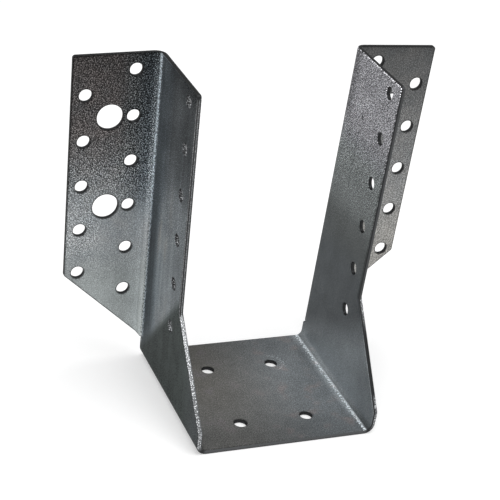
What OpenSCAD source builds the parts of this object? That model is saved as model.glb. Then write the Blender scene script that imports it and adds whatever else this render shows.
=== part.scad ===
// Face-fixed joist hanger, folded from one piece of zinc-coated steel sheet.
// The seat carries the joist's end, the two side plates hold it, and a flange is
// turned outwards from each side plate and fastened to the header.
//
// The origin is the centre of the seat's upper face, where the joist bears.
// +X is to the joist's right, +Y points into the header, +Z is up.

/* [Sheet] */
// Thickness of the sheet
sheet_t = 2; // [1.5:0.1:3]
// Inside radius of every fold
fold_r = 2.5; // [1.5:0.1:4]
// How far each side plate leans outwards after folding, in degrees
side_lean = 1.69; // [0:0.1:4]
// Radius of the blank's punched corners
corner_r = 1.2; // [0.5:0.1:2]

/* [Seat] */
// Clear width between the side plates at the seat
pocket_w = 75; // [50:1:120]
// Length of the seat, from its front edge to its back edge
seat_depth = 75; // [65:1:110]
// Distance from the header's face to the seat's back edge
seat_gap = 2; // [1:0.25:2.5]

/* [Side plates] */
// Height of the side plates and flanges above the seat
side_h = 140; // [110:1:200]
// Distance from the header's face to the free edge of the upper side plate
side_w = 45; // [43:1:60]
// Height of the bend in the outline, where the free edge starts to slope forwards
knee_h = 45; // [35:1:60]
// Height of the nose, where the sloping edge reaches the seat's front edge
nose_h = 8; // [6:0.5:12]
// Height of the heel, where the side plate ends behind the fold of the flange
heel_h = 8; // [7:0.5:12]

/* [Flanges] */
// Width of a flange, from the side plate's outer face to its free edge
flange_w = 35.5; // [35:0.5:45]
// Height of the flange's lower outer corner, where its slanting cut starts
flange_clip_h = 42; // [30:1:50]

/* [Nail holes] */
// Diameter of the nail holes
nail_d = 5.5; // [4:0.1:6]
// Distance between the rows of nail holes
row_pitch = 20; // [16:1:24]
// Least distance from a hole's centre to the top edge
top_margin = 5; // [4:0.5:6]
// Height of the lowest nail hole in the flange's inner column
flange_row_h = 33; // [31:1:40]
// Distance from the side plate's outer face to the flange's inner column
inner_column = 9.5; // [9:0.5:11]
// Distance from the side plate's outer face to the flange's outer column
outer_column = 29.75; // [28:0.25:30.5]
// Height of the lowest nail hole in the side plate
side_row_h = 34; // [20:1:40]
// Distance from the header's face to the side plate's column
side_column = 36.5; // [20:0.5:38]

/* [Bolt holes] */
// Diameter of the bolt holes
bolt_d = 11; // [9:0.5:12]
// Distance from the side plate's outer face to the bolt holes
bolt_column = 19.25; // [18:0.25:20.5]
// Nail row of the lowest bolt hole, counted upwards from 0
bolt_first_row = 2; // [1:1:3]
// Nail rows from one bolt hole to the next
bolt_row_step = 2; // [2:1:4]

/* [Seat holes] */
// Distance between the seat's holes across the joist
seat_hole_across = 29.5; // [20:0.5:40]
// Distance between the seat's holes along the joist
seat_hole_along = 40; // [30:1:42]
// Distance from the seat's back edge to its first holes
seat_hole_back = 20; // [12:0.5:22]

/* [Hidden] */

$fn = 40;

// How far a cutter reaches past the sheet that it cuts
reach = 1;
// Points on each punched corner
corner_steps = 6;
// Colour of the weathered zinc
zinc_grey = [0.36, 0.38, 0.39];

// Outside radius of every fold
fold_outer_r = fold_r + sheet_t;

// The seat's front and back edges, and the header's face
seat_front_y = -seat_depth / 2;
seat_back_y = seat_depth / 2;
header_y = seat_back_y + seat_gap;

// Axis of the fold between the seat and a side plate
seat_fold_x = pocket_w / 2 - fold_r;

// A side plate is drawn upright, with X measured from the axis of its lower fold
plate_inner_x = fold_r;
plate_outer_x = fold_r + sheet_t;
flange_edge_x = plate_outer_x + flange_w;

// Axis of the fold between a side plate and its flange
flange_fold_x = plate_outer_x + fold_r;
flange_fold_y = header_y - sheet_t - fold_r;

// Free edge of the upper side plate
side_edge_y = header_y - side_w;

// Number of rows that fit under the top edge, from a first row upwards
function rows_from(first_h) = floor((side_h - top_margin - first_h) / row_pitch) + 1;

// Points of a corner of radius r at b, on the outline that runs from a to b to c
function corner(a, b, c, r) =
    let (
        to_a = (a - b) / norm(a - b),
        to_c = (c - b) / norm(c - b),
        half = acos(to_a * to_c) / 2,
        mid = (to_a + to_c) / norm(to_a + to_c),
        centre = b + mid * r / sin(half),
        start = b + to_a * r / tan(half) - centre,
        turn = sign(to_a.x * to_c.y - to_a.y * to_c.x) * (half * 2 - 180)
    )
    [for (i = [0 : corner_steps])
        let (angle = turn * i / corner_steps)
        centre + [start.x * cos(angle) - start.y * sin(angle),
                  start.x * sin(angle) + start.y * cos(angle)]];

// A tube of sheet along Z, which every fold is cut from
module fold_tube(length) {
    difference() {
        cylinder(h = length, r = fold_outer_r);
        translate([0, 0, -reach])
            cylinder(h = length + 2 * reach, r = fold_r);
    }
}

// The flat of the seat
module seat() {
    difference() {
        translate([-seat_fold_x, seat_front_y, -sheet_t])
            cube([2 * seat_fold_x, seat_depth, sheet_t]);
        for (x = [-seat_hole_across / 2, seat_hole_across / 2])
            for (back = [seat_hole_back, seat_hole_back + seat_hole_along])
                translate([x, seat_back_y - back, -sheet_t - reach])
                    cylinder(h = sheet_t + 2 * reach, d = nail_d);
    }
}

// The fold between the seat and a side plate, which ends square to the leaning plate
module seat_fold() {
    intersection() {
        translate([seat_fold_x, seat_back_y, fold_r])
            rotate([90, 0, 0])
                fold_tube(seat_depth);
        translate([seat_fold_x, seat_front_y - reach, -sheet_t - reach])
            cube([2 * fold_outer_r, seat_depth + 2 * reach, 2 * fold_outer_r]);
        leaning()
            translate([-fold_outer_r, seat_front_y - reach, fold_r - 2 * fold_outer_r])
                cube([3 * fold_outer_r, seat_depth + 2 * reach, 2 * fold_outer_r]);
    }
}

// Outline of a side plate seen from the side, with Y across and height upwards
module side_outline() {
    nose = [seat_front_y, nose_h];
    knee = [side_edge_y, knee_h];
    crown = [side_edge_y, side_h];
    heel = [seat_back_y, heel_h];
    heel_top = [flange_fold_y, heel_h];
    heel_r = min(corner_r, 0.8 * (seat_back_y - flange_fold_y));
    polygon(concat(
        [[seat_front_y, fold_r]],
        corner([seat_front_y, fold_r], nose, knee, 2 * corner_r),
        corner(nose, knee, crown, corner_r),
        corner(knee, crown, [flange_fold_y, side_h], corner_r),
        [[flange_fold_y, side_h], heel_top],
        corner(heel_top, heel, [seat_back_y, fold_r], heel_r),
        [[seat_back_y, fold_r]]
    ));
}

// Outline of a flange and its fold seen from the front, with height upwards
module flange_outline() {
    toe = [plate_outer_x, heel_h];
    clip = [flange_edge_x, flange_clip_h];
    crown = [flange_edge_x, side_h];
    polygon(concat(
        [[plate_inner_x, side_h], [plate_inner_x, heel_h], toe],
        corner(toe, clip, crown, corner_r),
        corner(clip, crown, [plate_inner_x, side_h], corner_r)
    ));
}

// A side plate, upright and without its flange
module side_plate() {
    difference() {
        translate([plate_inner_x, 0, 0])
            rotate([90, 0, 90])
                linear_extrude(sheet_t)
                    side_outline();
        for (row = [0 : rows_from(side_row_h) - 1])
            translate([plate_inner_x - reach, header_y - side_column, side_row_h + row * row_pitch])
                rotate([0, 90, 0])
                    cylinder(h = sheet_t + 2 * reach, d = nail_d);
    }
}

// A hole straight through the flange, at a distance from the side plate and a height
module flange_hole(column, height, diameter) {
    translate([plate_outer_x + column, header_y + reach, height])
        rotate([90, 0, 0])
            cylinder(h = sheet_t + 2 * reach, d = diameter);
}

// The fold between a side plate and its flange, over the full height
module flange_fold() {
    intersection() {
        translate([flange_fold_x, flange_fold_y, 0])
            fold_tube(side_h);
        translate([flange_fold_x - 2 * fold_outer_r, flange_fold_y, -reach])
            cube([2 * fold_outer_r, 2 * fold_outer_r, side_h + 2 * reach]);
    }
}

// A flange with its fold, cut to its outline and drilled
module flange() {
    half_row = row_pitch / 2;
    difference() {
        intersection() {
            union() {
                translate([flange_fold_x, header_y - sheet_t, 0])
                    cube([flange_edge_x - flange_fold_x, sheet_t, side_h]);
                flange_fold();
            }
            translate([0, header_y + reach, 0])
                rotate([90, 0, 0])
                    linear_extrude(sheet_t + fold_r + 2 * reach)
                        flange_outline();
        }
        for (row = [0 : rows_from(flange_row_h) - 1])
            flange_hole(inner_column, flange_row_h + row * row_pitch, nail_d);
        for (row = [0 : rows_from(flange_row_h + half_row) - 1])
            flange_hole(outer_column, flange_row_h + half_row + row * row_pitch, nail_d);
        for (row = [bolt_first_row : bolt_row_step : rows_from(flange_row_h) - 1])
            flange_hole(bolt_column, flange_row_h + row * row_pitch, bolt_d);
    }
}

// Turns an upright side outwards about the axis of its lower fold
module leaning() {
    translate([seat_fold_x, 0, fold_r])
        rotate([0, side_lean, 0])
            translate([0, 0, -fold_r])
                children();
}

module hanger() {
    color(zinc_grey)
        union() {
            seat();
            for (side = [0, 1])
                mirror([side, 0, 0]) {
                    seat_fold();
                    leaning() {
                        side_plate();
                        flange();
                    }
                }
        }
}

hanger();
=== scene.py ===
# %% [markdown]
# # A joist hanger, punched flat and folded
#
# The part is one piece of zinc-coated sheet. It is punched flat, with all its holes, and
# then folded four times: twice to make the pocket for the joist, and twice to turn the
# flanges outwards. This lesson makes it in the same order, so the pattern on the metal
# runs round the folds as it does on the real sheet.

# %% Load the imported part
import math

import bpy
import numpy as np
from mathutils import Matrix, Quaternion, Vector
from mathutils.geometry import delaunay_2d_cdt


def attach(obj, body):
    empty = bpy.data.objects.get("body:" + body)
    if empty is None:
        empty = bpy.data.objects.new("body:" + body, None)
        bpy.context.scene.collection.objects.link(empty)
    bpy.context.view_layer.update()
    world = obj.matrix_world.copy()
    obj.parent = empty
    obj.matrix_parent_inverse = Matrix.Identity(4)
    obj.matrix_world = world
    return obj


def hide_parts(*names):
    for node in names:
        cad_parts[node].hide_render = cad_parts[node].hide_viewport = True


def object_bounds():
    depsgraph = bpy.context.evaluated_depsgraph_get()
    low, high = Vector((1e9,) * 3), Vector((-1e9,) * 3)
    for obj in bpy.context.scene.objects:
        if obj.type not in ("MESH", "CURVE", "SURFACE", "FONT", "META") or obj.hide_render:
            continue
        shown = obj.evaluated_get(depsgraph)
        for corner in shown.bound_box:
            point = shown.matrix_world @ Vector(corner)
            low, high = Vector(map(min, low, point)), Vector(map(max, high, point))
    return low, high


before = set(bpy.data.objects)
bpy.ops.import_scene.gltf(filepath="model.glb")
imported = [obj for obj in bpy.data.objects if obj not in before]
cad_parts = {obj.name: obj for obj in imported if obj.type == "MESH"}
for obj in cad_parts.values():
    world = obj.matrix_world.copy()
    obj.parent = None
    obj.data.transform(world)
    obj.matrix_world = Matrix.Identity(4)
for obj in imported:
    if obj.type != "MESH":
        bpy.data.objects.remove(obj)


def in_mm(corner):
    """A corner's coordinates in millimetres, for printing."""
    return [round(1000 * value, 2) for value in corner]


cad_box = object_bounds()
print("packed part, in millimetres:", in_mm(cad_box[0]), in_mm(cad_box[1]))

# %% [markdown]
# ## The camera
#
# A long lens from the left and above, at the photograph's angle. The picture is square,
# and the camera is turned a little about its own line of sight, as a hand-held one is.

# %% Place the camera
CAMERA_AT = Vector((-0.24497, -0.50344, 0.36787))
LINE_OF_SIGHT = Vector((0.371116, 0.7982, -0.474498))
CAMERA_ROLL = math.radians(7.98)
LENS_MM = 112.78
SENSOR_MM = 36
NEAREST = 0.01

camera_data = bpy.data.cameras.new("photo_camera")
camera_data.lens = LENS_MM
camera_data.sensor_width = SENSOR_MM
camera_data.clip_start = NEAREST
camera = bpy.data.objects.new("photo_camera", camera_data)
bpy.context.scene.collection.objects.link(camera)
camera.location = CAMERA_AT
level = LINE_OF_SIGHT.to_track_quat("-Z", "Y")
camera.rotation_mode = "QUATERNION"
camera.rotation_quaternion = level @ Quaternion((0, 0, 1), CAMERA_ROLL)
bpy.context.scene.camera = camera
print("camera", in_mm(CAMERA_AT), "lens", LENS_MM, "mm")

# %% [markdown]
# ## The sizes
#
# The lesson works in millimetres and turns them into metres when it makes the mesh. The
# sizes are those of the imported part: the sheet, the folds, the seat, the side plates and
# the flanges. Heights are measured up a side plate from the seat, and widths outwards
# from the axis of its lower fold, as if the plate stood upright.

# %% Sizes in millimetres
MM = 0.001
SHEET = 2.0
FOLD_R = 2.5
MID_R = FOLD_R + SHEET / 2
LEAN = math.radians(1.69)

SEAT_FLAT = 35.0
SEAT_FRONT = -37.5
SEAT_BACK = 37.5
HEADER = 39.5

SIDE_H = 140.0
SIDE_FREE = -5.5
KNEE_H = 45.0
NOSE_H = 8.0
HEEL_H = 8.0
NOTCH = 0.4
FLANGE_EDGE = 40.0
CLIP_H = 42.0
CORNER_R = 1.2

PLATE_OUTER = FOLD_R + SHEET
FLANGE_FOLD_X = PLATE_OUTER + FOLD_R
FLANGE_FOLD_Y = HEADER - SHEET - FOLD_R
print("the flange's fold turns about", (FLANGE_FOLD_X, FLANGE_FOLD_Y))

# %% [markdown]
# ## From the folded part back to the flat sheet
#
# Each point of the sheet has two flat coordinates: u runs across the seat, round the
# lower fold and up the side plate, and v runs from front to back and out along the
# flange. The length of a fold in the flat sheet is its middle radius times its angle.

# %% Flat coordinates of heights and widths
LOWER_BEND = math.pi / 2 - LEAN
FLANGE_BEND = math.pi / 2
PLATE_START = SEAT_FLAT + MID_R * LOWER_BEND
FLANGE_START = FLANGE_FOLD_Y + MID_R * FLANGE_BEND


def u_at(height):
    """Flat coordinate of a height on the side plate: the end of the fold plus the rest."""
    return PLATE_START + height - FOLD_R


def v_at(width):
    """Flat coordinate of a width on the flange: the end of the fold plus the rest."""
    return FLANGE_START + width - FLANGE_FOLD_X


print("flat sheet: %.1f mm across, %.1f mm long" % (2 * u_at(SIDE_H), v_at(FLANGE_EDGE) - SEAT_FRONT))

# %% [markdown]
# ## Folding
#
# One function folds the whole sheet. Four separate bends could be modelled and joined
# instead, but one rule is easier to check. A height above the sheet's middle goes through
# it as well, so both faces, the cut edges and every small rounding are folded alike. A
# notch 0.4 mm high parts the flange from the heel below it.


# %% Fold points of the flat sheet
def folded(u, v, n):
    """Points of the folded sheet from flat u and v and the height n over its middle.

    Across the seat x is u. Round the lower fold a point turns about the fold's axis at
    the middle radius less n, so x grows with the sine of the angle and z falls from the
    axis with its cosine. Up the plate it runs straight on. On the flange a point turns
    about the upright axis at the middle radius plus n and then runs straight outwards.
    The plate and flange are laid out upright and then turned outwards by the lean.
    """
    across = np.abs(u)
    angle = np.clip((across - SEAT_FLAT) / MID_R, 0, LOWER_BEND)
    rise = np.maximum(across - PLATE_START, 0)
    radius = MID_R - n
    seat_x = np.minimum(across, SEAT_FLAT) + radius * np.sin(angle)
    seat_z = FOLD_R - radius * np.cos(angle)

    on_flange = (v > FLANGE_FOLD_Y) & (rise > HEEL_H - FOLD_R - NOTCH / 2)
    turn = np.where(on_flange, np.clip((v - FLANGE_FOLD_Y) / MID_R, 0, FLANGE_BEND), 0)
    past = np.where(on_flange, np.maximum(v - FLANGE_START, 0), 0)
    width = np.where(on_flange, FLANGE_FOLD_X - (MID_R + n) * np.cos(turn) + past, radius)
    depth = np.where(on_flange, FLANGE_FOLD_Y + (MID_R + n) * np.sin(turn), v)
    plate_x = SEAT_FLAT + width * math.cos(LEAN) + rise * math.sin(LEAN)
    plate_z = FOLD_R + rise * math.cos(LEAN) - width * math.sin(LEAN)

    x = np.where(rise > 0, plate_x, seat_x) * np.where(u < 0, -1, 1)
    z = np.where(rise > 0, plate_z, seat_z)
    return np.stack([x, depth, z], axis=-1)


top_corner = folded(np.array(u_at(SIDE_H)), np.array(v_at(FLANGE_EDGE)), np.array(0.0))
print("top corner of the right flange:", top_corner.round(2))

# %% [markdown]
# ## The outline of the blank
#
# The outline is a list of corners, each with the radius that the punch leaves. The list
# holds the right half, and the left half is its mirror image. The slanting cut of the
# flange runs on over its fold, where it is a curve on the flat sheet, so it gets a few
# points there.


# %% Rounded corners
def rounded(corners, steps=6):
    """Outline through corners (u, v, radius), each replaced by an arc that touches both sides.

    The arc's centre lies on the corner's bisector at radius over the sine of half the
    corner's angle, and the arc starts and ends at the feet of the two sides.
    """
    points = []
    for before, here, after in zip(corners[-1:] + corners[:-1], corners, corners[1:] + corners[:1]):
        corner = np.array(here[:2])
        radius = here[2]
        if radius == 0:
            points.append(corner[None])
            continue
        back = np.array(before[:2]) - corner
        back /= np.linalg.norm(back)
        on = np.array(after[:2]) - corner
        on /= np.linalg.norm(on)
        half = math.acos(float(back @ on)) / 2
        middle = (back + on) / np.linalg.norm(back + on)
        centre = corner + middle * radius / math.sin(half)
        start = corner + back * radius / math.tan(half) - centre
        sense = math.copysign(1, -(back[0] * on[1] - back[1] * on[0]))
        turn = sense * np.linspace(0, math.pi - 2 * half, steps + 1)
        points.append(centre + np.stack([start[0] * np.cos(turn) - start[1] * np.sin(turn),
                                         start[0] * np.sin(turn) + start[1] * np.cos(turn)], axis=-1))
    return np.concatenate(points)


# %% The slanting cut where it crosses the flange's fold
TOE_POINTS = 6
clip_slope = (CLIP_H - HEEL_H) / (FLANGE_EDGE - PLATE_OUTER)
toe_end = math.acos((FLANGE_FOLD_X - PLATE_OUTER) / MID_R)
toe_turns = np.linspace(FLANGE_BEND, toe_end, TOE_POINTS)
toe_heights = HEEL_H + clip_slope * (FLANGE_FOLD_X - MID_R * np.cos(toe_turns) - PLATE_OUTER)
toe = [(u_at(height), FLANGE_FOLD_Y + MID_R * turn, 0) for height, turn in zip(toe_heights, toe_turns)]
print("the cut reaches the fold at a height of", round(toe_heights[0], 2))

# %% Corners of the blank
right_half = [
    (u_at(NOSE_H), SEAT_FRONT, 2 * CORNER_R),
    (u_at(KNEE_H), SIDE_FREE, CORNER_R),
    (u_at(SIDE_H), SIDE_FREE, CORNER_R),
    (u_at(SIDE_H), v_at(FLANGE_EDGE), CORNER_R),
    (u_at(CLIP_H), v_at(FLANGE_EDGE), CORNER_R),
    *toe,
    (u_at(HEEL_H), FLANGE_FOLD_Y, 0),
    (u_at(HEEL_H - NOTCH), FLANGE_FOLD_Y, 0),
    (u_at(HEEL_H - NOTCH), SEAT_BACK, CORNER_R),
]
left_half = [(-u, v, r) for u, v, r in reversed(right_half)]
outline = rounded(right_half + left_half)
print("outline:", len(outline), "points")

# %% [markdown]
# ## The holes
#
# The nail holes stand in rows 20 mm apart. On the flanges the outer column is half a row
# out of step with the inner one, and two bolt holes stand between the columns, at the
# height of an inner nail hole. The seat has four nail holes. A boolean modifier could cut
# them from a solid sheet, but it leaves long thin triangles round each hole, so here they
# are loops of the blank from the start.

# %% Centres and radii of the holes
NAIL_R = 2.75
BOLT_R = 5.5
PITCH = 20.0
SIDE_ROW_H = 34.0
SIDE_COLUMN = 36.5
FLANGE_ROW_H = 33.0
INNER_COLUMN = 9.5
OUTER_COLUMN = 29.75
BOLT_COLUMN = 19.25
BOLT_ROWS = [2, 4]
SEAT_HOLE_U = 14.75
SEAT_HOLES_V = (-22.5, 17.5)
rows = np.arange(6) * PITCH


def hole_column(heights, v, radius):
    """A column of equal holes on both side plates, at these heights and one flat v."""
    right = np.stack([u_at(heights), np.full_like(heights, v), np.full_like(heights, radius)], axis=-1)
    return np.concatenate([right, right * [-1, 1, 1]])


holes = np.concatenate([
    hole_column(SIDE_ROW_H + rows, HEADER - SIDE_COLUMN, NAIL_R),
    hole_column(FLANGE_ROW_H + rows, v_at(PLATE_OUTER + INNER_COLUMN), NAIL_R),
    hole_column(FLANGE_ROW_H + PITCH / 2 + rows[:-1], v_at(PLATE_OUTER + OUTER_COLUMN), NAIL_R),
    hole_column(FLANGE_ROW_H + rows[BOLT_ROWS], v_at(PLATE_OUTER + BOLT_COLUMN), BOLT_R),
    [[u, v, NAIL_R] for u in (-SEAT_HOLE_U, SEAT_HOLE_U) for v in SEAT_HOLES_V],
])
print("holes:", len(holes))

# %% [markdown]
# ## Cut edges
#
# A punch drags the metal down before it shears it, so a cut edge is rounded on the side
# where the punch went in and sharper on the other. A bevel modifier could round both
# sides alike. Here each outline and hole becomes a stack of rings instead, which runs from
# one face, round the edge and on to the other face. The first and last rings lie a little
# inside, on the flat, and keep the faces flat up to the rounding.


# %% Rings along the outline and the holes
def evenly(points, step):
    """The closed outline with each side cut into equal pieces no longer than step."""
    ends = np.roll(points, -1, axis=0)
    pieces = np.maximum(np.ceil(np.linalg.norm(ends - points, axis=1) / step), 1).astype(int)
    which = np.repeat(np.arange(len(points)), pieces)
    place = np.arange(pieces.sum()) - np.repeat(np.cumsum(pieces) - pieces, pieces)
    return points[which] + (ends - points)[which] * (place / pieces[which])[:, None]


def inward(points):
    """Directions into the metal: the mean of the normals of the two sides that meet at a
    point, made longer at a corner so that both sides keep their distance. The metal lies
    on the left as the outline is followed."""
    side = np.roll(points, -1, axis=0) - points
    side /= np.linalg.norm(side, axis=1)[:, None]
    normal = np.stack([-side[:, 1], side[:, 0]], axis=-1)
    last = np.roll(normal, 1, axis=0)
    return (normal + last) / (1 + (normal * last).sum(axis=1))[:, None]


# %% Shape of a cut edge
ROLL_OVER = 0.30
BREAK_EDGE = 0.18
FLAT_RING = 0.55
quarter = np.linspace(0, math.pi / 2, 4)
ring_inset = np.concatenate([[FLAT_RING], ROLL_OVER * (1 - np.sin(quarter)),
                             BREAK_EDGE * (1 - np.cos(quarter)), [FLAT_RING]])
ring_height = np.concatenate([[SHEET / 2], SHEET / 2 - ROLL_OVER * (1 - np.cos(quarter)),
                              -SHEET / 2 + BREAK_EDGE * (1 - np.sin(quarter)), [-SHEET / 2]])
print("rings per edge:", len(ring_inset))

# %% Loops of the blank
EDGE_STEP = 0.6
HOLE_SIDES = 40
spin = -np.arange(HOLE_SIDES) * 2 * math.pi / HOLE_SIDES
circle = np.stack([np.cos(spin), np.sin(spin)], axis=-1)
loops = [evenly(outline, EDGE_STEP)] + [hole[:2] + hole[2] * circle for hole in holes]
insides = [inward(loop) for loop in loops]
print("points along all edges:", sum(map(len, loops)))

# %% [markdown]
# ## Points inside the blank
#
# The flat parts are filled with an even pattern of points, 2 mm apart, and the folds with
# lines of points close together across the bend, because only a bend needs them.

# %% Which points lie in the metal
BATCHES = 12


def in_metal(points, margin):
    """True where a point is inside the outline, outside every hole, and at least margin
    from both. A point is inside if a line from it crosses the outline an odd number of
    times. The points are tested in batches, to save memory."""
    edge = loops[0]
    nxt = np.roll(edge, -1, axis=0)
    inside = np.zeros(len(points), bool)
    for part in np.array_split(np.arange(len(points)), BATCHES):
        u = points[part, 0:1]
        v = points[part, 1:2]
        spans = (edge[:, 1] > v) != (nxt[:, 1] > v)
        run = np.where(nxt[:, 1] == edge[:, 1], 1, nxt[:, 1] - edge[:, 1])
        at = edge[:, 0] + (v - edge[:, 1]) / run * (nxt[:, 0] - edge[:, 0])
        odd = (spans & (u < at)).sum(axis=1) % 2 == 1
        far = ((u - edge[:, 0]) ** 2 + (v - edge[:, 1]) ** 2).min(axis=1) > margin ** 2
        clear = (np.hypot(u - holes[:, 0], v - holes[:, 1]) > holes[:, 2] + margin).all(axis=1)
        inside[part] = odd & far & clear
    return inside


# %% Points in the flats
GRID = 2.0
ROW_STEP = GRID * 0.866
REACH_U = 185
REACH_V = (-40, 76)
CLEARANCE = 1.0
gu, gv = np.meshgrid(np.arange(-REACH_U, REACH_U + 1, GRID), np.arange(*REACH_V, ROW_STEP))
gu = gu + (np.arange(len(gu)) % 2)[:, None] * GRID / 2
flat = np.stack([gu.ravel(), gv.ravel()], axis=-1)
from_middle = np.abs(flat[:, 0])
in_lower = (from_middle > SEAT_FLAT - CLEARANCE) & (from_middle < PLATE_START + CLEARANCE)
in_flange = (flat[:, 1] > FLANGE_FOLD_Y - CLEARANCE) & (flat[:, 1] < FLANGE_START + CLEARANCE)
flat = flat[~in_lower & ~(in_flange & (from_middle > PLATE_START))]
print("points in the flats:", len(flat))

# %% Points in the folds
FOLD_LINES = 9
EDGE_MARGIN = FLAT_RING + 0.5
lu, lv = np.meshgrid(np.linspace(SEAT_FLAT, PLATE_START, FOLD_LINES),
                     np.arange(SEAT_FRONT + CLEARANCE, SEAT_BACK, GRID))
lower = np.stack([lu.ravel(), lv.ravel()], axis=-1)
fu, fv = np.meshgrid(np.arange(u_at(HEEL_H) + CLEARANCE, u_at(SIDE_H), GRID),
                     np.linspace(FLANGE_FOLD_Y, FLANGE_START, FOLD_LINES))
upper = np.stack([fu.ravel(), fv.ravel()], axis=-1)
fill = np.concatenate([flat, lower, lower * [-1, 1], upper, upper * [-1, 1]])
fill = fill[in_metal(fill, EDGE_MARGIN)]
print("points inside the metal:", len(fill))

# %% [markdown]
# ## One triangulation for both faces
#
# The points could be joined row by row, but the rows don't meet the edges of the holes. A
# triangulation keeps to those edges and makes no thin triangles. Both faces of the sheet
# use the same triangles, one set turned over. They fill the whole outline, so the ones in
# the holes are dropped: those whose three corners all lie on the same hole's ring.

# %% Triangulate the blank
FILL_OUTLINE = 1
MERGE_GAP = 1e-6
sizes = [len(loop) for loop in loops]
starts = np.cumsum([0] + sizes)
edge_ring = np.concatenate([loop + FLAT_RING * inside for loop, inside in zip(loops, insides)])
loop_edges = [np.stack([a + np.arange(b - a), a + (np.arange(b - a) + 1) % (b - a)], axis=-1)
              for a, b in zip(starts[:-1], starts[1:])]
along = np.concatenate(loop_edges)
plan = np.concatenate([edge_ring, fill]).tolist()
result = delaunay_2d_cdt(plan, along.tolist(), [], FILL_OUTLINE, MERGE_GAP)
# The result's third list holds the triangles, and its fourth the points they stand for.
plan_index = np.array(result[3])[:, 0]
triangles = plan_index[np.array(result[2])]
print("triangles in the outline:", len(triangles))

# %% Drop the triangles in the holes
ring_number = np.concatenate([np.repeat(np.arange(len(loops)), sizes), np.zeros(len(fill), int)])
corner_ring = ring_number[triangles]
in_hole = (corner_ring[:, 0] > 0) & (corner_ring == corner_ring[:, :1]).all(axis=1)
triangles = triangles[~in_hole]
print("triangles on each face:", len(triangles), "and in the holes:", in_hole.sum())

# %% [markdown]
# ## The mesh
#
# The rings' points come first, ring by ring, then the inner points of the upper and of
# the lower face. Quads join each ring to the next one, so the sheet is closed all round.

# %% Place and height of every point
ring_count = len(ring_inset)
ring_points = starts[-1]
loop_points = np.concatenate(loops)
loop_inside = np.concatenate(insides)
flat_uv = np.concatenate([loop_points + inset * loop_inside for inset in ring_inset] + [fill, fill])
height = np.concatenate([np.repeat(ring_height, ring_points),
                         np.full(len(fill), SHEET / 2), np.full(len(fill), -SHEET / 2)])
points = folded(flat_uv[:, 0], flat_uv[:, 1], height)
print("points of the mesh:", len(points))

# %% Join the faces and the edges
inner_start = ring_count * ring_points
top_index = np.concatenate([np.arange(ring_points), inner_start + np.arange(len(fill))])
low_index = np.concatenate([(ring_count - 1) * ring_points + np.arange(ring_points),
                            inner_start + len(fill) + np.arange(len(fill))])
rings = np.arange(ring_count - 1)[:, None] * ring_points
quads = np.stack([(rings + along[:, 0]).ravel(), (rings + ring_points + along[:, 0]).ravel(),
                  (rings + ring_points + along[:, 1]).ravel(), (rings + along[:, 1]).ravel()], axis=-1)
sheet_faces = top_index[triangles].tolist() + low_index[triangles[:, ::-1]].tolist() + quads.tolist()

mesh = bpy.data.meshes.new("folded_sheet")
mesh.from_pydata((points * MM).tolist(), [], sheet_faces)
mesh.validate()
mesh.polygons.foreach_set("use_smooth", np.ones(len(mesh.polygons), bool))
print("mesh:", len(mesh.vertices), "vertices,", len(mesh.polygons), "faces")

# %% [markdown]
# ## What the finish needs to know
#
# The finish follows the sheet, so the mesh carries a flat map and two values for each
# point: how far it is from a cut edge, and how high it lies between the sheet's outer
# face, at -1, and the face in the pocket, at 1.

# %% Flat map and values on the mesh
flat_map = mesh.uv_layers.new(name="blank")
corner_vertex = np.empty(len(mesh.loops), int)
mesh.loops.foreach_get("vertex_index", corner_vertex)
flat_map.data.foreach_set("uv", (flat_uv[corner_vertex] * MM).ravel())


def store(name, values):
    """Keeps one number for each point of the mesh under this name."""
    mesh.attributes.new(name, "FLOAT", "POINT").data.foreach_set("value", values.astype(np.float32))


edge_points = loops[0]
to_outline = [np.hypot(part[:, 0:1] - edge_points[:, 0], part[:, 1:2] - edge_points[:, 1]).min(axis=1)
              for part in np.array_split(fill, BATCHES)]
to_hole = (np.hypot(fill[:, 0:1] - holes[:, 0], fill[:, 1:2] - holes[:, 1]) - holes[:, 2]).min(axis=1)
fill_edge = np.minimum(np.concatenate(to_outline), to_hole)
store("edge_distance", np.concatenate([np.repeat(ring_inset, ring_points), fill_edge, fill_edge]))
store("face_side", height)
print("furthest from an edge, in millimetres:", round(fill_edge.max(), 1))

# %% Put the hanger in the scene
hanger = bpy.data.objects.new("folded_hanger", mesh)
bpy.context.scene.collection.objects.link(hanger)
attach(hanger, "root")
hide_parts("hanger")
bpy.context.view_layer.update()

# %% [markdown]
# ## The finish: how the metal looks
#
# Zinc-coated sheet that has lain in a store is not one grey. Its grain is coarse where the
# coating has dulled, and faint streaks run the way it was rolled. Its tone also drifts over
# a hand's width, and most of that drift is painted light and shade: the reflection of the
# surroundings, laid into the colour. It could be painted as an image, but nodes stay sharp
# at any distance, and one number changes each part of them. Every pattern is placed on the
# flat map, in millimetres, so it runs round the folds with the sheet.
#
# The helpers below make the nodes. What goes into a helper is a plain number or another
# node's output.


# %% Helpers that make nodes
def plug(tree, value, socket):
    """Links another node's output to a socket, or sets the socket to a plain value."""
    if isinstance(value, bpy.types.NodeSocket):
        tree.links.new(value, socket)
    else:
        socket.default_value = value


def calc(tree, operation, *values):
    """A Math node with this operation."""
    made = tree.nodes.new("ShaderNodeMath")
    made.operation = operation
    for value, socket in zip(values, made.inputs):
        plug(tree, value, socket)
    return made.outputs[0]


def scaled(tree, vector, factor):
    """A place, a direction or a colour times a number."""
    made = tree.nodes.new("ShaderNodeVectorMath")
    made.operation = "SCALE"
    plug(tree, vector, made.inputs[0])
    plug(tree, factor, made.inputs["Scale"])
    return made.outputs["Vector"]


# %% [markdown]
# A mask is a number that is 1 on one part of the hanger and 0 elsewhere. Most masks here
# are steps in a height or a width: step(up, 60, 90) is 0 below a height of 60 mm and 1
# above 90 mm. Masks are multiplied to cut out a patch.


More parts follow.
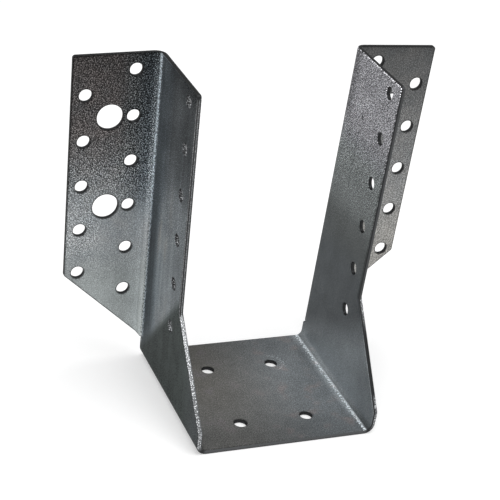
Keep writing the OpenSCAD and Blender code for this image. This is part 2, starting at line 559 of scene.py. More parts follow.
# %% Helpers for masks
def step(tree, value, start, end, low=0.0, high=1.0):
    """Goes smoothly from low to high while value goes from start to end."""
    made = tree.nodes.new("ShaderNodeMapRange")
    made.interpolation_type = "SMOOTHSTEP"
    names = ("Value", "From Min", "From Max", "To Min", "To Max")
    for name, number in zip(names, (value, start, end, low, high)):
        plug(tree, number, made.inputs[name])
    return made.outputs["Result"]


def overlap(tree, *masks):
    """1 only where every mask is 1: the masks are multiplied."""
    made = masks[0]
    for mask in masks[1:]:
        made = calc(tree, "MULTIPLY", made, mask)
    return made


def either(tree, *masks):
    """1 where any mask is 1: the largest of the masks."""
    made = masks[0]
    for mask in masks[1:]:
        made = calc(tree, "MAXIMUM", made, mask)
    return made


def invert(tree, mask):
    """1 where the mask is 0, and 0 where it is 1."""
    return calc(tree, "SUBTRACT", 1.0, mask)


# %% Helpers that mix numbers and colours
# A Mix node takes numbers at its sockets 2 and 3, and colours at 6 and 7.
def shade(tree, tone, mask, change):
    """Changes a tone by this share of it where the mask is 1."""
    return calc(tree, "MULTIPLY", tone, calc(tree, "MULTIPLY_ADD", mask, change, 1.0))


def between(tree, factor, low, high):
    """Mixes two numbers: low at factor 0 and high at factor 1."""
    made = tree.nodes.new("ShaderNodeMix")
    for value, place in ((factor, 0), (low, 2), (high, 3)):
        plug(tree, value, made.inputs[place])
    return made.outputs[0]


def tint(tree, factor, low, high):
    """Mixes two colours: low at factor 0 and high at factor 1."""
    made = tree.nodes.new("ShaderNodeMix")
    made.data_type = "RGBA"
    for value, place in ((factor, 0), (low, 6), (high, 7)):
        plug(tree, value, made.inputs[place])
    return made.outputs[2]


def curve(tree, value, points):
    """A smooth curve through the points (value, result), all between 0 and 1."""
    made = tree.nodes.new("ShaderNodeFloatCurve")
    line = made.mapping.curves[0]
    for place in points[1:-1]:
        line.points.new(*place)
    line.points[0].location = points[0]
    line.points[-1].location = points[-1]
    made.mapping.update()
    plug(tree, value, made.inputs["Value"])
    return made.outputs["Value"]


# %% Helpers that read the mesh
def read(tree, name):
    """A value that the mesh keeps under this name."""
    made = tree.nodes.new("ShaderNodeAttribute")
    made.attribute_name = name
    return made.outputs["Fac"]


def flat_place(tree):
    """The place on the blank in millimetres, then its two parts: across and from front to back."""
    flat = tree.nodes.new("ShaderNodeUVMap")
    flat.uv_map = "blank"
    place = scaled(tree, flat.outputs["UV"], 1 / MM)
    parts = tree.nodes.new("ShaderNodeSeparateXYZ")
    plug(tree, place, parts.inputs[0])
    return place, parts.outputs["X"], parts.outputs["Y"]


# %% [markdown]
# ## Two patterns for both finishes
#
# The faces and the cut edges are two finishes, and both are made of the same sheet. The
# grain and the drawn-out streaks are node groups, built once and given other sizes in each
# finish. Both put out numbers about zero, to be added to a tone. Grain is soft noise in two
# sizes, and crystals: dots that are lightest in the middle, each with a lightness of its
# own. Streaks are noise that is stretched along the sheet.

# %% Helpers for groups and noise
NOISE_SPREAD = 4.0


def new_group(name, numbers, results):
    """An empty node group that takes a place and some numbers and puts out some numbers."""
    tree = bpy.data.node_groups.new(name, "ShaderNodeTree")
    tree.interface.new_socket("Place", in_out="INPUT", socket_type="NodeSocketVector")
    for number, usual in numbers.items():
        socket = tree.interface.new_socket(number, in_out="INPUT", socket_type="NodeSocketFloat")
        socket.default_value = usual
    for result in results:
        tree.interface.new_socket(result, in_out="OUTPUT", socket_type="NodeSocketFloat")
    return tree, tree.nodes.new("NodeGroupInput").outputs, tree.nodes.new("NodeGroupOutput").inputs


def noise(tree, place, scale, detail=2.0, roughness=0.5):
    """Noise about zero, mostly from -1 to 1, with scale features to the millimetre."""
    made = tree.nodes.new("ShaderNodeTexNoise")
    for name, number in (("Vector", place), ("Scale", scale), ("Detail", detail), ("Roughness", roughness)):
        plug(tree, number, made.inputs[name])
    return calc(tree, "MULTIPLY", calc(tree, "SUBTRACT", made.outputs["Fac"], 0.5), NOISE_SPREAD)


def use(tree, group, place, **numbers):
    """Puts a group into a material, at this place on the blank and with these numbers."""
    made = tree.nodes.new("ShaderNodeGroup")
    made.node_tree = group
    plug(tree, place, made.inputs["Place"])
    for name, value in numbers.items():
        plug(tree, value, made.inputs[name])
    return made.outputs


# %% Node group for grain
DOT_FALL = -2.2
DOT_MEAN = 0.45
grain, taken, given = new_group("zinc_grain", {"Fine": 1.5, "Coarse": 0.3}, ["Fine", "Coarse", "Crystals"])
for name in ("Fine", "Coarse"):
    plug(grain, noise(grain, taken["Place"], taken[name]), given[name])
crystals = grain.nodes.new("ShaderNodeTexVoronoi")
crystals.voronoi_dimensions = "2D"
plug(grain, taken["Place"], crystals.inputs["Vector"])
plug(grain, taken["Fine"], crystals.inputs["Scale"])
shades = grain.nodes.new("ShaderNodeSeparateColor")
plug(grain, crystals.outputs["Color"], shades.inputs["Color"])
dots = calc(grain, "MULTIPLY_ADD", crystals.outputs["Distance"], DOT_FALL, 1.0)
dots = calc(grain, "MAXIMUM", dots, 0.0)
own_lightness = calc(grain, "MULTIPLY_ADD", shades.outputs["Red"], 2.8, 0.8)
dots = calc(grain, "MULTIPLY", dots, own_lightness)
plug(grain, calc(grain, "SUBTRACT", dots, DOT_MEAN), given["Crystals"])
print("group", grain.name)

# %% Node group for streaks along the sheet
streaks, taken, given = new_group("rolling_streaks", {"Width": 3.0, "Length": 60.0}, ["Streak"])
parts = streaks.nodes.new("ShaderNodeSeparateXYZ")
plug(streaks, taken["Place"], parts.inputs[0])
stretched = streaks.nodes.new("ShaderNodeCombineXYZ")
plug(streaks, calc(streaks, "DIVIDE", parts.outputs["X"], taken["Length"]), stretched.inputs["X"])
plug(streaks, calc(streaks, "DIVIDE", parts.outputs["Y"], taken["Width"]), stretched.inputs["Y"])
plug(streaks, noise(streaks, stretched.outputs[0], 1.0, 3.0), given["Streak"])
print("group", streaks.name)

# %% [markdown]
# ## The faces of the sheet
#
# The tone is worked out first, as one number: how light the metal looks, from 0 to 1. Each
# part of the blank has its own drift, and masks along the folds join them. Most of the drift
# is painted reflection and shade, and it isn't the same on the left and the right.
#
# Places are read from the flat map: up is the height on a side plate, forward the distance
# from the header's face, and width the distance out along the flange from the side plate.
# The two turns measure how far a point lies past the start of a lower fold, and before
# the end of a flange's fold.

# %% Where on the hanger a point is
faces = bpy.data.materials.new("weathered_zinc")
faces.use_nodes = True
tree = faces.node_tree
flat_mm, across, along_v = flat_place(tree)
from_middle = calc(tree, "ABSOLUTE", across)
up = calc(tree, "SUBTRACT", from_middle, PLATE_START - FOLD_R)
up_share = calc(tree, "DIVIDE", up, SIDE_H)
forward = calc(tree, "SUBTRACT", HEADER, along_v)
width = calc(tree, "SUBTRACT", along_v, FLANGE_START - FOLD_R)
lower_turn = calc(tree, "SUBTRACT", from_middle, SEAT_FLAT)
flange_turn = calc(tree, "SUBTRACT", FLANGE_START, along_v)
print("heights 0 and %g lie %.1f and %.1f mm from the middle" % (SIDE_H, u_at(0), u_at(SIDE_H)))

# %% Masks of the main parts
right = step(tree, across, -6, 6)
left = invert(tree, right)
outside = step(tree, read(tree, "face_side"), 0.3, -0.3)
inside = invert(tree, outside)
on_seat = step(tree, up, 3.5, -1.0)
off_seat = invert(tree, on_seat)
on_flange = overlap(tree, step(tree, width, -2.3, -1.5), step(tree, up, 4, 7))
on_plate = overlap(tree, outside, off_seat, invert(tree, on_flange))
print("places and masks take", len(tree.nodes), "nodes")

# %% [markdown]
# The flanges are dark at the top and light at the foot. That is painted reflection: dark
# surroundings above, the bright floor below. A curve gives the tone at each height, because a
# ramp of two colours would be too even. The left flange also has patches of painted
# reflection: lighter low down by the fold, and darker halfway up it. Low down the fold itself
# is darkened, as painted shade.

# %% Tone of the flanges
LEFT_FLANGE = [(0, 0.84), (0.16, 0.75), (0.34, 0.67), (0.50, 0.61), (0.60, 0.50),
               (0.70, 0.395), (0.78, 0.335), (0.92, 0.30), (1, 0.25)]
RIGHT_FLANGE = [(0, 0.62), (0.35, 0.60), (0.50, 0.56), (0.63, 0.50), (0.75, 0.46),
                (0.86, 0.40), (0.95, 0.375), (1, 0.32)]
# Each patch: a step in width, a step in height and the change of tone.
LEFT_PATCHES = [
    ((12, -1), (85, 60), 0.22),
    ((14, 30), (75, 92), -0.05),
    ((14, 5), (112, 128), -0.06),
    ((23, 31), (62, 45), -0.07),
]
left_flange = curve(tree, up_share, LEFT_FLANGE)
for widths, heights, change in LEFT_PATCHES:
    patch = overlap(tree, step(tree, width, *widths), step(tree, up, *heights))
    left_flange = shade(tree, left_flange, patch, change)
halfway = overlap(tree, step(tree, width, 15, 7), step(tree, up, 68, 78), step(tree, up, 102, 90))
left_flange = shade(tree, left_flange, halfway, -0.12)
flange_tone = between(tree, right, left_flange, curve(tree, up_share, RIGHT_FLANGE))
# Painted shade in the flanges' fold, low down.
painted_fold_shade = overlap(tree, step(tree, flange_turn, -0.5, 1.0), step(tree, up, 85, 60))
flange_tone = shade(tree, flange_tone, painted_fold_shade, -0.22)
print("with the flanges:", len(tree.nodes), "nodes")

# %% [markdown]
# The outside of a side plate is lightest in the middle of its height and darker in a band
# by the flange. A slanting line rises forwards from the foot of the flange, and below it the
# plate is dark. The band and the dark below the line are painted reflection. Each of these
# is a soft step laid over the curve, so it can be moved alone.

# %% Tone of the side plates, outside
PLATE = [(0, 0.52), (0.14, 0.52), (0.30, 0.60), (0.42, 0.62), (0.50, 0.58),
         (0.60, 0.53), (0.70, 0.46), (0.80, 0.385), (0.92, 0.385), (1, 0.29)]
LINE_SLOPE = -1.1
plate_tone = curve(tree, up_share, PLATE)
low_front = overlap(tree, step(tree, forward, 24, 42), step(tree, up, 90, 60))
plate_tone = shade(tree, plate_tone, low_front, -0.17)
high_front = overlap(tree, step(tree, forward, 26, 38), step(tree, up, 88, 98))
plate_tone = shade(tree, plate_tone, high_front, -0.14)
# Painted reflection: a darker band along the flange's fold.
painted_fold_band = step(tree, up, 100, 60, 0.43, 0.355)
plate_tone = between(tree, step(tree, forward, 18, 10), plate_tone, painted_fold_band)
# Painted reflection: the plate is dark below the slanting line.
below_line = step(tree, calc(tree, "MULTIPLY_ADD", forward, LINE_SLOPE, up), 4, -4)
plate_tone = between(tree, below_line, plate_tone, step(tree, along_v, 10, -32, 0.28, 0.315))
outer_tone = between(tree, on_flange, plate_tone, flange_tone)
print("with the outside:", len(tree.nodes), "nodes")

# %% [markdown]
# In the pocket the right side plate is lightest at the top and in front, towards its nose.
# The seat gets lighter from left to right and darker towards its front and back edges. The
# seat just before the crease is painted lighter, as light from the crease's highlight, and
# the fold just past the crease is painted dark, as its shade.

# %% Tone of the pocket
WALL = [(0, 0.36), (0.20, 0.365), (0.40, 0.36), (0.49, 0.38), (0.56, 0.455), (0.63, 0.465),
        (0.70, 0.475), (0.78, 0.50), (0.85, 0.555), (0.92, 0.53), (1, 0.53)]
NOSE_SLOPE = -0.58
wall_tone = curve(tree, up_share, WALL)
top_back = overlap(tree, step(tree, forward, 11, 5), step(tree, up, 108, 116))
wall_tone = shade(tree, wall_tone, top_back, -0.25)
towards_nose = step(tree, calc(tree, "MULTIPLY_ADD", forward, NOSE_SLOPE, up), 11.6, -10.4)
wall_tone = between(tree, towards_nose, wall_tone, step(tree, along_v, -8, -34, 0.665, 0.57))

seat_ends = calc(tree, "ADD", step(tree, along_v, 6, 37, 0, -0.115), step(tree, along_v, -14, -34, 0, -0.08))
seat_ends = calc(tree, "MULTIPLY", seat_ends, step(tree, across, -5, 30, 0.55, 1.1))
seat_tone = calc(tree, "ADD", step(tree, across, -20, 52, 0.39, 0.61), seat_ends)
# Painted light on the seat next to the crease's highlight.
painted_crease_light = overlap(tree, step(tree, lower_turn, -3.5, -1.0), right, step(tree, along_v, -34, -20))
seat_tone = shade(tree, seat_tone, painted_crease_light, 0.2)
inner_tone = between(tree, on_seat, wall_tone, seat_tone)
# Painted shade on the fold just past the crease.
painted_crease_shade = overlap(tree, step(tree, lower_turn, 0.9, 1.6), step(tree, lower_turn, 6.0, 2.0), right)
painted_crease_shade = overlap(tree, painted_crease_shade, step(tree, along_v, 28, -25, 0.5, 1.0))
inner_tone = shade(tree, inner_tone, painted_crease_shade, -0.36)
tone = between(tree, outside, inner_tone, outer_tone)
print("with the pocket:", len(tree.nodes), "nodes")

# %% [markdown]
# The zinc has set in crystals. They stand out where the coating has dulled, at the top of
# the flanges and of the side plates' inner faces, and show less elsewhere. This mask says
# how much.

# %% Where the grain is coarse
coarse_top = shade(tree, step(tree, up, 62, 90), step(tree, width, 17, 8), 0.35)
coarse_side = overlap(tree, step(tree, width, 15, 26), step(tree, up, 42, 60, 0.2, 0.65))
coarse_left = either(tree, coarse_top, coarse_side, step(tree, up, 32, 50, 0.18, 0.28))
coarse_flange = between(tree, right, coarse_left, step(tree, up, 135, 110, 0.3, 0.42))
coarse_outside = between(tree, on_flange, 0.32, coarse_flange)
coarse_inside = between(tree, on_seat, step(tree, up, 55, 112, 0.2, 1.0), 0.26)
coarse_inside = shade(tree, coarse_inside, step(tree, width, -2, 2), -0.45)
coarseness = between(tree, outside, coarse_inside, coarse_outside)
print("with the mask of the grain:", len(tree.nodes), "nodes")

# %% [markdown]
# Light crystals and darker pits between them make the grain. The rollers left fine streaks,
# and handling has rubbed the outside of the side plates in broader ones. Noise of 8 mm
# stains the whole sheet a little.

# %% Grain, streaks and stains
DARKEST_DRIFT = 0.3
grains = use(tree, grain, flat_mm, Fine=1.65, Coarse=0.12)
pits = use(tree, grain, flat_mm, Fine=1.35, Coarse=0.4)
rolled = use(tree, streaks, flat_mm, Width=2.2, Length=60.0)
rubbed = use(tree, streaks, flat_mm, Width=7.0, Length=24.0)
sparkle = calc(tree, "MULTIPLY_ADD", grains["Crystals"], 0.55, calc(tree, "MULTIPLY", grains["Fine"], 0.2))
pitting = calc(tree, "MULTIPLY", pits["Crystals"], between(tree, inside, -0.25, -0.3))
speckle = calc(tree, "MULTIPLY", calc(tree, "ADD", sparkle, pitting), coarseness)
stain = calc(tree, "MULTIPLY", grains["Coarse"], 0.05)
streak_elsewhere = between(tree, on_seat, 0.025, 0.01)
streak_on_plate = between(tree, below_line, 0.11, 0.045)
streak_strength = between(tree, on_plate, streak_elsewhere, streak_on_plate)
streak = calc(tree, "MULTIPLY", rolled["Streak"], streak_strength)
rub = calc(tree, "MULTIPLY", rubbed["Streak"], calc(tree, "MULTIPLY", on_plate, 0.08))
drift = calc(tree, "ADD", calc(tree, "ADD", streak, rub), 1.0)
drift = calc(tree, "ADD", calc(tree, "ADD", speckle, stain), drift)
tone = calc(tree, "MULTIPLY", tone, calc(tree, "MAXIMUM", drift, DARKEST_DRIFT))
print("with the grain:", len(tree.nodes), "nodes")

# %% [markdown]
# The punch scuffs the faces next to a cut. On the outside of the flanges that strip is dark,
# and along the free edges of the side plates it is a little darker than the plate. Along the
# top of the right side plate, on the inside, a painted highlight catches the edge in broken
# dashes. The shader can find edges by itself, but not the same in every program, so the mesh
# keeps each point's distance from a cut.

# %% Edges of the faces
edge_distance = read(tree, "edge_distance")
ragged = calc(tree, "MULTIPLY_ADD", grains["Fine"], 0.15, edge_distance)
rim = overlap(tree, step(tree, ragged, 0.6, 0.25), on_flange, outside)
tone = shade(tree, tone, rim, -0.45)
arris = step(tree, ragged, 0.6, 0.2)
free_edge = overlap(tree, arris, step(tree, along_v, -3.5, -4.5))
tone = shade(tree, tone, free_edge, -0.2)
dashes = step(tree, grains["Crystals"], -0.6, 0.6)
# Painted highlight along the top edge of the right plate, in dashes.
top_edge_highlight = overlap(tree, arris, inside, right, step(tree, up, 130, 136), dashes)
tone = shade(tree, tone, top_edge_highlight, 0.9)
print("with the edges:", len(tree.nodes), "nodes")

# %% [markdown]
# A few marks are in one place only: three thin scratches and a small dent on the right side
# plate, and a faint ring that something pressed round one hole of the seat. They are finer
# than the points of the mesh, so they are drawn in the finish, by the distance from a line
# between two points. A line of no length is a point.


# %% Distance from a line on the blank
def gap_to_line(tree, place, start, end):
    """Distance in millimetres from the straight line between two points of the blank.

    The foot of the distance lies at the share of the line that the dot product of the
    point's offset and the line gives, held between its two ends.
    """
    offset = tree.nodes.new("ShaderNodeVectorMath")
    offset.operation = "SUBTRACT"
    plug(tree, place, offset.inputs[0])
    plug(tree, (*start, 0), offset.inputs[1])
    run = Vector((*end, 0)) - Vector((*start, 0))
    share = tree.nodes.new("ShaderNodeVectorMath")
    share.operation = "DOT_PRODUCT"
    plug(tree, offset.outputs[0], share.inputs[0])
    plug(tree, run / max(run.length_squared, 1e-6), share.inputs[1])
    held = calc(tree, "MINIMUM", calc(tree, "MAXIMUM", share.outputs["Value"], 0.0), 1.0)
    gap = tree.nodes.new("ShaderNodeVectorMath")
    gap.operation = "DISTANCE"
    plug(tree, offset.outputs[0], gap.inputs[0])
    plug(tree, scaled(tree, run, held), gap.inputs[1])
    return gap.outputs["Value"]


# %% Scratches and a dent on the right side plate
SCRATCHES = [
    ((u_at(109.5), 21.2), (u_at(104.4), 21.5)),
    ((u_at(104.4), 21.5), (u_at(95.2), 20.8)),
    ((u_at(88.0), 21.5), (u_at(83.5), 20.8)),
]
DENT = ((u_at(115.9), 20.5), (u_at(115.1), 20.4))
marks = step(tree, gap_to_line(tree, flat_mm, *DENT), 1.1, 0.4)
for start, end in SCRATCHES:
    line = step(tree, gap_to_line(tree, flat_mm, start, end), 0.45, 0.15)
    marks = either(tree, marks, calc(tree, "MULTIPLY", line, 0.6))
tone = shade(tree, tone, overlap(tree, marks, inside), -0.42)
print("marks on the side plate:", 1 + len(SCRATCHES))

# %% A ring round one hole of the seat
RING_R = 5.4
RING_HOLE = (SEAT_HOLE_U, SEAT_HOLES_V[1])
from_hole = gap_to_line(tree, flat_mm, RING_HOLE, RING_HOLE)
from_ring = calc(tree, "ABSOLUTE", calc(tree, "SUBTRACT", from_hole, RING_R))
broken = step(tree, grains["Crystals"], -0.4, 0.6)
ring = overlap(tree, step(tree, from_ring, 0.9, 0.2), step(tree, across, 13, 18), broken, inside)
tone = shade(tree, tone, ring, 0.3)
print("ring round the hole at", RING_HOLE)

# %% [markdown]
# Zinc is brittle and crazes where the sheet is bent. In the right crease of the pocket and
# on the outside of the flanges' folds it is crazed in a ragged line, less metallic and with a
# broken relief, and that line is painted near white as the fold's highlight. Near the left
# fold, single bright grains are painted over the flange as glints. As pieces of mesh they
# would be thousands of specks, so they are dots of the grain, let through where a ragged mask
# along the fold allows it.

# %% Crazed zinc in the folds, with painted highlights
cracks = use(tree, grain, flat_mm, Fine=1.05, Coarse=0.4)
ragged_turn = calc(tree, "MULTIPLY_ADD", cracks["Crystals"], 0.45, lower_turn)
in_crease = overlap(tree, step(tree, ragged_turn, -0.9, 0.1), step(tree, ragged_turn, 1.5, 0.9))
seat_crease = overlap(tree, in_crease, inside, right)
ragged_fold = calc(tree, "MULTIPLY_ADD", cracks["Crystals"], -0.6, flange_turn)
flange_crease = overlap(tree, step(tree, ragged_fold, 3.2, 3.6), step(tree, ragged_fold, 6.6, 4.8), outside)
flange_crease = overlap(tree, flange_crease, step(tree, up, 8, 10))
crease = either(tree, seat_crease, flange_crease)
# The crease's tone is a painted highlight on the crazed zinc.
highlight_mean = between(tree, off_seat, 1.02, 0.93)
crease_highlight_tone = calc(tree, "MULTIPLY_ADD", cracks["Crystals"], 0.8, highlight_mean)
crease_highlight_tone = calc(tree, "MINIMUM", crease_highlight_tone, 1.05)
low_outside = overlap(tree, step(tree, up, 85, 60), off_seat, outside)
crease_highlight_tone = shade(tree, crease_highlight_tone, low_outside, -0.2)
tone = between(tree, calc(tree, "MULTIPLY", crease, 0.95), tone, crease_highlight_tone)
# Painted glints by the left fold.
near_fold = overlap(tree, step(tree, width, 4, 0), step(tree, up, 60, 75), outside, left)
glints = overlap(tree, step(tree, grains["Crystals"], 1.0, 1.9), near_fold)
tone = shade(tree, tone, glints, 0.35)
print("with the creases:", len(tree.nodes), "nodes")

# %% [markdown]
# The metal is a cool grey with patches of other hues: brown at the top of the left flange,
# blue by its fold, green and earth lower down, and a mottled seat. The hues are factors
# near 1 for red, green and blue, so they change the colour and leave the tone. They are
# laid over each other in turn, which is easier to adjust than one picture of them all.

# %% Where each hue lies
COOL = (0.92, 1.0, 1.05, 1)
NEUTRAL = (1.0, 1.0, 0.99, 1)
BLUE = (0.88, 1.0, 1.09, 1)
BROWN = (1.10, 1.0, 0.98, 1)
MOSS = (0.93, 1.0, 1.0, 1)
VIOLET = (1.0, 1.0, 1.06, 1)
EARTH = (1.03, 1.0, 0.93, 1)
MAUVE = (1.05, 1.0, 1.01, 1)
SLATE = (0.85, 1.0, 0.96, 1)
patches = calc(tree, "MULTIPLY", grains["Coarse"], 0.3)
flange_face = overlap(tree, on_flange, outside)
left_face = overlap(tree, flange_face, left)
neutral_part = overlap(tree, calc(tree, "ADD", patches, between(tree, right, 0.35, 0.85)), flange_face)
# The blue by the left fold and by the header tints the painted reflection there.
blue_flange = overlap(tree, step(tree, width, 10, 3), step(tree, up, 55, 85), left_face)
blue_part = either(tree, blue_flange, overlap(tree, step(tree, forward, 24, 14), on_plate))
brown_part = overlap(tree, step(tree, width, 10, 17), step(tree, up, 78, 118), left_face)
brown_part = overlap(tree, brown_part, calc(tree, "ADD", patches, 0.85))
moss_band = overlap(tree, inside, step(tree, up, 48, 66), step(tree, up, 110, 95))
moss_part = either(tree, overlap(tree, step(tree, up, 60, 35), left_face), moss_band)
violet_part = overlap(tree, inside, step(tree, up, 95, 112))
# Slate tints the painted dark reflection below the slanting line.
slate_part = overlap(tree, below_line, on_plate, step(tree, along_v, -34, -14, 0.2, 1.0))
mottled_part = overlap(tree, step(tree, grains["Coarse"], 0.1, 0.9), on_seat, inside)
print("with the places of the hues:", len(tree.nodes), "nodes")

# %% Where the sheet is stained or worn to an earth colour
seat_stain = overlap(tree, step(tree, across, 22, -24), step(tree, along_v, -30, 10, 0.7, 1.0))
seat_stain = overlap(tree, seat_stain, on_seat, inside)
worn_band = overlap(tree, step(tree, forward, 12, 18), step(tree, forward, 34, 24), step(tree, up, 100, 80))
worn_part = overlap(tree, step(tree, rubbed["Streak"], -0.2, 1.2), worn_band, on_plate)
foot_stain = overlap(tree, step(tree, up, 85, 45, 0.0, 0.7), flange_face, right)
earth_part = either(tree, seat_stain, worn_part, foot_stain)
print("with the stains:", len(tree.nodes), "nodes")

# %% Colour of the faces
TONE_POWER = 2.2
DARKEST_TONE = 0.02
HUES = [
    (neutral_part, NEUTRAL), (blue_part, BLUE), (brown_part, BROWN), (moss_part, MOSS),
    (violet_part, VIOLET), (earth_part, EARTH), (mottled_part, MAUVE), (slate_part, SLATE),
]


def painted(tree, tone, hue):
    """A base colour: the hue times the tone to the power that a screen undoes."""
    light = calc(tree, "POWER", calc(tree, "MAXIMUM", tone, DARKEST_TONE), TONE_POWER)
    return scaled(tree, hue, light)


hue = COOL
for part, colour in HUES:
    hue = tint(tree, part, hue, colour)
surface = tree.nodes["Principled BSDF"]
plug(tree, painted(tree, tone, hue), surface.inputs["Base Color"])
print("hues laid over the first one:", len(HUES))

# %% [markdown]
# The coating is satin, not polished, and dull where it has crazed: metallic in part, with
# little gloss of its own. The same grain that colours it raises it by a few hundredths of
# a millimetre.

# %% Gloss and relief of the faces
GLOSS = 0.2
GLOSS_TINT = (0.3, 0.3, 0.3, 1)
plug(tree, between(tree, crease, 0.6, 0.2), surface.inputs["Metallic"])
surface.inputs["Specular IOR Level"].default_value = GLOSS
surface.inputs["Specular Tint"].default_value = GLOSS_TINT
plug(tree, calc(tree, "MULTIPLY_ADD", grains["Fine"], 0.06, 0.46), surface.inputs["Roughness"])
relief = tree.nodes.new("ShaderNodeBump")
relief.inputs["Strength"].default_value = 0.35
relief.inputs["Distance"].default_value = 0.04 * MM
plug(tree, calc(tree, "MULTIPLY_ADD", cracks["Fine"], crease, speckle), relief.inputs["Height"])
plug(tree, relief.outputs["Normal"], surface.inputs["Normal"])
mesh.materials.append(faces)
print("finish", faces.name, "nodes:", len(tree.nodes))

# %% [markdown]
# ## The cut edges
#
# A sheared edge has a bright band, burnished by the punch, and a dark torn band where the
# metal broke. Here the bright bands show on the free edge of the left side plate. They are
# broadest on its slope down to the nose, which faces up and carries a painted highlight too.
# The other edges and the walls of the holes are dull, with a little painted light in the left
# plate's holes, and lighter on the right plate's slope. The finish is only on the walls of the
# cuts. Its grain is placed in space and not on the flat map, because a wall is only a thin
# line there.

# %% Where on a cut edge a point is
edges = bpy.data.materials.new("sheared_edge")
edges.use_nodes = True
tree = edges.node_tree
across, along_v = flat_place(tree)[1:]
depth = read(tree, "face_side")
turned = tree.nodes.new("ShaderNodeMapping")
turned.inputs["Rotation"].default_value = (math.radians(90), 0, 0)
in_space = tree.nodes.new("ShaderNodeTexCoord").outputs["Object"]
plug(tree, scaled(tree, in_space, 1 / MM), turned.inputs["Vector"])
grains = use(tree, grain, turned.outputs["Vector"], Fine=1.9, Coarse=0.5)
print("grain of the edges:", len(tree.nodes), "nodes")

# %% Bands on the left side plate's free edge
burnished = overlap(tree, step(tree, depth, -0.9, -0.6), step(tree, depth, 0.8, 0.5))
inner_band = overlap(tree, step(tree, depth, -0.15, 0.05), step(tree, depth, 0.5, 0.3))
bands = either(tree, step(tree, depth, -0.5, -0.7), inner_band)
left_front = overlap(tree, step(tree, across, -37, -40), step(tree, along_v, -3, -5))
left_front = overlap(tree, left_front, step(tree, across, -u_at(SIDE_H - 1), -u_at(SIDE_H - 2.5)))
on_slope = step(tree, along_v, -5.6, -7)
# The slope carries a painted highlight as well as its burnished band.
slope_tone = between(tree, burnished, 0.3, step(tree, along_v, -12, -36, 0.72, 0.56))
left_tone = between(tree, on_slope, between(tree, bands, 0.22, 0.44), slope_tone)
print("with the bands:", len(tree.nodes), "nodes")

# %% The other walls that catch some painted light
from_column = calc(tree, "ABSOLUTE", calc(tree, "SUBTRACT", along_v, HEADER - SIDE_COLUMN))
side_hole = overlap(tree, step(tree, from_column, 3.5, 3.1), step(tree, across, -55, -60))
side_hole = overlap(tree, side_hole, step(tree, across, -u_at(SIDE_H - 1), -u_at(SIDE_H - 2)))
# Painted highlight on the walls of the left plate's holes.
hole_tone = step(tree, across, -78, -86, 0.42, 0.33)
right_front = overlap(tree, step(tree, across, 37, 40), step(tree, along_v, -3, -5))
right_front = overlap(tree, right_front, step(tree, depth, 0.3, -0.3))
right_upper = overlap(tree, right_front, step(tree, along_v, -8, -5.6))
slope_top = overlap(tree, step(tree, along_v, -5.5, -6.5), step(tree, along_v, -17, -9))
right_slope = overlap(tree, right_front, either(tree, slope_top, step(tree, along_v, -32, -34)))
seat_front = overlap(tree, step(tree, calc(tree, "ABSOLUTE", across), 37, 35), step(tree, along_v, -36, -37))
seat_front = overlap(tree, seat_front, step(tree, depth, -0.75, -0.5))
WALL_TONES = [(side_hole, hole_tone), (right_upper, 0.3), (right_slope, 0.5),
              (seat_front, 0.34), (left_front, left_tone)]
edge_tone = 0.2
for part, part_tone in WALL_TONES:
    edge_tone = between(tree, part, edge_tone, part_tone)
print("lit walls:", len(WALL_TONES))

# %% Colour and gloss of the cut edges
BARE_STEEL = (0.97, 1.0, 1.03)
left_crumbs = calc(tree, "MULTIPLY", left_front, between(tree, on_slope, 0.3, 0.55))
other_crumbs = calc(tree, "MULTIPLY", either(tree, side_hole, right_slope), 0.7)
crumbs = either(tree, left_crumbs, other_crumbs)
crumbled = calc(tree, "MULTIPLY_ADD", grains["Crystals"], crumbs, 1.0)
surface = tree.nodes["Principled BSDF"]
edge_paint = painted(tree, calc(tree, "MULTIPLY", edge_tone, crumbled), BARE_STEEL)
plug(tree, edge_paint, surface.inputs["Base Color"])
surface.inputs["Metallic"].default_value = 0.7
surface.inputs["Specular IOR Level"].default_value = GLOSS
surface.inputs["Specular Tint"].default_value = GLOSS_TINT
plug(tree, between(tree, burnished, 0.6, 0.35), surface.inputs["Roughness"])
mesh.materials.append(edges)
print("finish", edges.name, "nodes:", len(tree.nodes))

# %% Give the cut walls their finish
# The quads between rings 4 and 6 are the wall itself and the first step of its sharp side.
WALL_RINGS = range(4, 6)
wall = np.zeros(len(mesh.polygons), int)
first_wall = 2 * len(triangles)
for ring_row in WALL_RINGS:
    wall[first_wall + ring_row * ring_points:first_wall + (ring_row + 1) * ring_points] = 1
mesh.polygons.foreach_set("material_index", wall)
print("faces on cut walls:", int(wall.sum()))

# %% [markdown]
# ## Floor, light and surroundings
#
# The hanger stands on a pale floor in a white room, as in a catalogue. The background
# could be made white with more light, but that would bleach the metal. Instead the floor
# and the room are made lighter only for the rays that show them: those from the camera,
# off gloss and through glass. The light on the hanger stays plain, and its shadow stays
# on the floor.


# %% Rays that show the surroundings
def seen_ray(tree):
    """1 for rays that show the surroundings: from the camera, off gloss and through glass."""
    rays = tree.nodes.new("ShaderNodeLightPath").outputs
    return either(tree, rays["Is Camera Ray"], rays["Is Glossy Ray"], rays["Is Transmission Ray"])


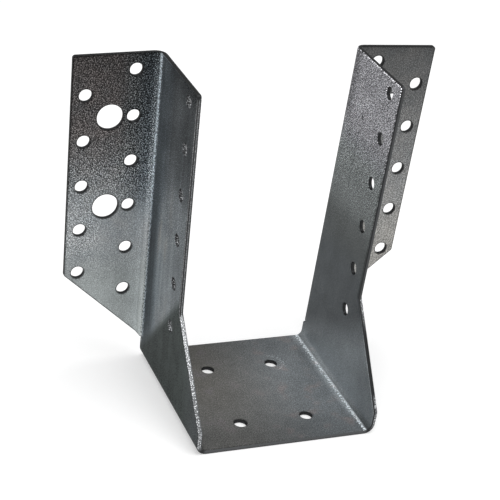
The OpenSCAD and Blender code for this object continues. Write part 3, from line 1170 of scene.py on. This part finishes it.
# %% Floor
FLOOR_SIZE = 6
FLOOR_GAP = 0.0001
FLOOR_Z = cad_box[0].z - FLOOR_GAP
FLOOR_GREY = (0.8, 0.8, 0.8, 1)
FLOOR_GLOW = 0.35
bpy.ops.mesh.primitive_plane_add(size=FLOOR_SIZE, location=(0, 0, FLOOR_Z))
floor = bpy.context.object
floor.name = "floor"
floor_material = bpy.data.materials.new("pale_floor")
floor_material.use_nodes = True
tree = floor_material.node_tree
tree.nodes.clear()
output = tree.nodes.new("ShaderNodeOutputMaterial")
card = tree.nodes.new("ShaderNodeBsdfDiffuse")
card.inputs["Color"].default_value = FLOOR_GREY
glow = tree.nodes.new("ShaderNodeEmission")
plug(tree, calc(tree, "MULTIPLY", seen_ray(tree), FLOOR_GLOW), glow.inputs["Strength"])
both = tree.nodes.new("ShaderNodeAddShader")
plug(tree, card.outputs[0], both.inputs[0])
plug(tree, glow.outputs[0], both.inputs[1])
plug(tree, both.outputs[0], output.inputs["Surface"])
floor.data.materials.append(floor_material)
print("floor at", round(FLOOR_Z / MM, 2), "mm")

# %% World
ROOM_LIGHT = 0.6
SEEN_WHITE = 1.0
world = bpy.data.worlds.new("white_room")
bpy.context.scene.world = world
world.use_nodes = True
tree = world.node_tree
room = tree.nodes["Background"]
room.inputs["Color"].default_value = (1, 1, 1, 1)
plug(tree, between(tree, seen_ray(tree), ROOM_LIGHT, SEEN_WHITE), room.inputs["Strength"])
print("room light", ROOM_LIGHT)

# %% [markdown]
# Two square lamps stand for a photographer's soft boxes: one overhead, and a weaker one in
# front on the left. They are large, so the shadow is soft.

# %% Lamps
HANGER_MIDDLE = Vector((0, 0, 0.06))


def soft_box(name, at, size, power):
    """A square area lamp that faces the middle of the hanger."""
    data = bpy.data.lights.new(name, "AREA")
    data.shape = "SQUARE"
    data.size = size
    data.energy = power
    lamp = bpy.data.objects.new(name, data)
    bpy.context.scene.collection.objects.link(lamp)
    lamp.location = at
    lamp.rotation_mode = "QUATERNION"
    lamp.rotation_quaternion = (HANGER_MIDDLE - Vector(at)).to_track_quat("-Z", "Y")
    print(name, "lamp", power, "W")


soft_box("overhead", (0.1, -0.1, 0.9), 0.7, 4)
soft_box("front_left", (-0.7, -0.7, 0.5), 0.5, 2)

# %% [markdown]
# A screen shows the colours as they are worked out, with no film look laid over them, so
# that a tone written above is the tone seen.

# %% Plain colours on the screen
bpy.context.scene.view_settings.view_transform = "Standard"
print("view transform", bpy.context.scene.view_settings.view_transform)
